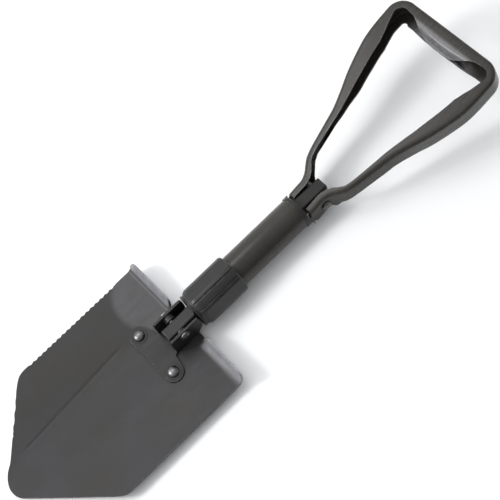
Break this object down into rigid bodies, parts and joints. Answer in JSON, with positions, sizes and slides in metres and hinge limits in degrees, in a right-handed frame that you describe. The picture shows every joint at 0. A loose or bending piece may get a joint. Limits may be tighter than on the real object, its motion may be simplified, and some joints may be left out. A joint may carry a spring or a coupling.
{
  "type": "folding camp shovel",
  "caption": "Folding camp shovel: saw-edged steel blade, tubular shaft with a screw locking collar, and a triangular hand grip that folds back on its pin.",
  "frame": {"origin": "centre of the bounding box in X and Y, at its lowest point, with the shovel lying on its back", "axes": "+Y along the shaft from the blade to the grip, +Z out of the blade's front, +X across the blade away from its saw edge"},
  "size_m": [0.1546, 0.565, 0.0765],
  "materials": {
    "blade_paint": "matte",
    "black_paint": "satin",
    "tube_paint": "satin",
    "pin_steel": "satin",
    "dark_steel": "satin"
  },
  "bodies": {
    "draw_bar": {"draw_bar": "black_paint", "blade_pin": "pin_steel", "blade_pin_washers": "dark_steel", "blade_pin_spacers": "pin_steel", "handle_pin": "pin_steel", "handle_pin_washers": "dark_steel", "handle_pin_spacers": "pin_steel", "handle_pin_sleeve": "dark_steel"},
    "blade": {"blade": "blade_paint", "hinge_bracket": "black_paint", "blade_rivets": "dark_steel", "rivet_washers": "dark_steel"},
    "tube": {"shaft_tube": "tube_paint", "rim_ring": "black_paint", "thread_sleeve": "dark_steel", "sleeve_rivets": "dark_steel"},
    "lock_ring": {"lock_ring": "black_paint", "slip_washer": "pin_steel"},
    "collar": {"lock_collar": "black_paint"},
    "handle": {"handle_frame": "tube_paint"}
  },
  "joints": [
    {"name": "blade_hinge", "type": "hinge", "parent": "draw_bar", "child": "blade", "pos_m": [0, -0.07802, 0.0244], "axis": [-1, 0, 0], "range_deg": [0, 180]},
    {"name": "handle_hinge", "type": "hinge", "parent": "draw_bar", "child": "handle", "pos_m": [0, 0.09698, 0.0194], "axis": [-1, 0, 0], "range_deg": [0, 180]},
    {"name": "tube_slide", "type": "slide", "parent": "draw_bar", "child": "tube", "axis": [0, 1, 0], "range_m": [-0.002, 0]},
    {"name": "collar_travel", "type": "slide", "parent": "tube", "child": "lock_ring", "axis": [0, 1, 0], "range_m": [0, 0.006]},
    {"name": "collar_turn", "type": "hinge", "parent": "lock_ring", "child": "collar", "pos_m": [0, 0, 0.0194], "axis": [0, 1, 0], "range_deg": [0, 540]}
  ],
  "couplings": [
    {"joint": "collar_turn", "follows": "collar_travel", "rad_per_m": 1570.8},
    {"joint": "tube_slide", "follows": "collar_travel", "ratio": -0.3333}
  ]
}
